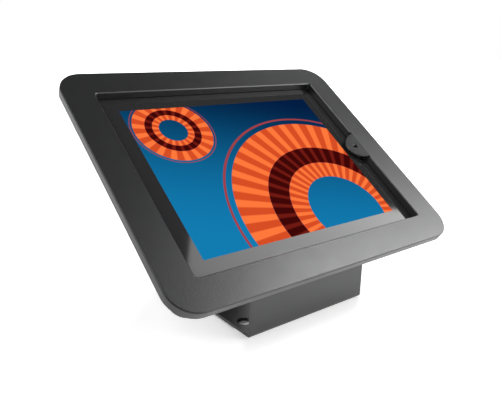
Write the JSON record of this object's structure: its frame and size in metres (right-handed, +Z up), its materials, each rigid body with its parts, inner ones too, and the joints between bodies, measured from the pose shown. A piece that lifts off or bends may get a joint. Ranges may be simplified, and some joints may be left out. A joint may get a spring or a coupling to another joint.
{
  "type": "tablet security kiosk stand",
  "caption": "Locking tablet enclosure with a wide rounded frame and a half-round home button cover, tilted on a low folded sheet stand.",
  "frame": {"origin": "middle of the stand's base, on the counter: the centre of its bolt pattern", "axes": "+X to the viewer's right along the long side of the frame, +Y to the back, +Z up"},
  "size_m": [0.2796, 0.1945, 0.1832],
  "materials": {
    "frame_paint": "satin dark grey powder coat",
    "cover_paint": "moulded plastic, satin black",
    "tray_paint": "satin dark grey powder coat",
    "stand_paint": "satin dark grey powder coat",
    "foam": "closed-cell foam",
    "zinc": "zinc plated",
    "lock_metal": "plated",
    "block_plastic": "moulded",
    "tablet_metal": "blasted and anodised",
    "glass": "polished, black printed border",
    "screen": "lit display",
    "button_black": "polished black",
    "board": "circuit board",
    "cell": "foil wrapped"
  },
  "bodies": {
    "stand": {"stand_shell": "stand_paint", "rear_panel": "stand_paint", "rear_screws": "zinc", "back_tray": "tray_paint", "tray_pads": "foam", "corner_blocks": "block_plastic", "lock_body": "lock_metal", "lock_nut": "zinc", "tablet_case": "tablet_metal", "cover_glass": "glass", "display_panel": "screen", "home_switch": "block_plastic", "dock_socket": "zinc", "battery_cells": "cell", "logic_board": "board", "vesa_screws": "zinc", "vesa_nuts": "zinc"},
    "frame": {"front_frame": "frame_paint", "home_button_cover": "cover_paint", "frame_gasket": "foam", "frame_hooks": "zinc", "lock_keeper": "zinc"},
    "lock": {"lock_plug": "lock_metal", "lock_cam": "zinc"},
    "home_button": {"home_button": "button_black"},
    "power_button": {"power_button": "button_black"},
    "volume_rocker": {"volume_rocker": "button_black"},
    "mute_switch": {"mute_switch": "button_black"}
  },
  "joints": [
    {"name": "frame_tilt", "type": "hinge", "parent": "stand", "child": "frame", "pos_m": [0, -0.08636, 0.05347], "axis": [1, 0, 0], "range_deg": [0, 75]},
    {"name": "lock_turn", "type": "hinge", "parent": "stand", "child": "lock", "pos_m": [0, 0.08846, 0.16818], "axis": [0, 0.8192, 0.5736], "range_deg": [0, 90]},
    {"name": "home_press", "type": "slide", "parent": "stand", "child": "home_button", "axis": [0, 0.5736, -0.8192], "range_m": [0, 0.0005], "stiffness_N_per_m": 2500},
    {"name": "power_press", "type": "slide", "parent": "stand", "child": "power_button", "axis": [1, 0, 0], "range_m": [0, 0.0004], "stiffness_N_per_m": 3000},
    {"name": "volume_rock", "type": "hinge", "parent": "stand", "child": "volume_rocker", "pos_m": [-0.0646, 0.07706, 0.16276], "axis": [0, -0.5736, 0.8192], "range_deg": [-1.5, 1.5], "stiffness_Nm_per_rad": 0.5},
    {"name": "mute_slide", "type": "slide", "parent": "stand", "child": "mute_switch", "axis": [1, 0, 0], "range_m": [0, 0.0018]}
  ]
}
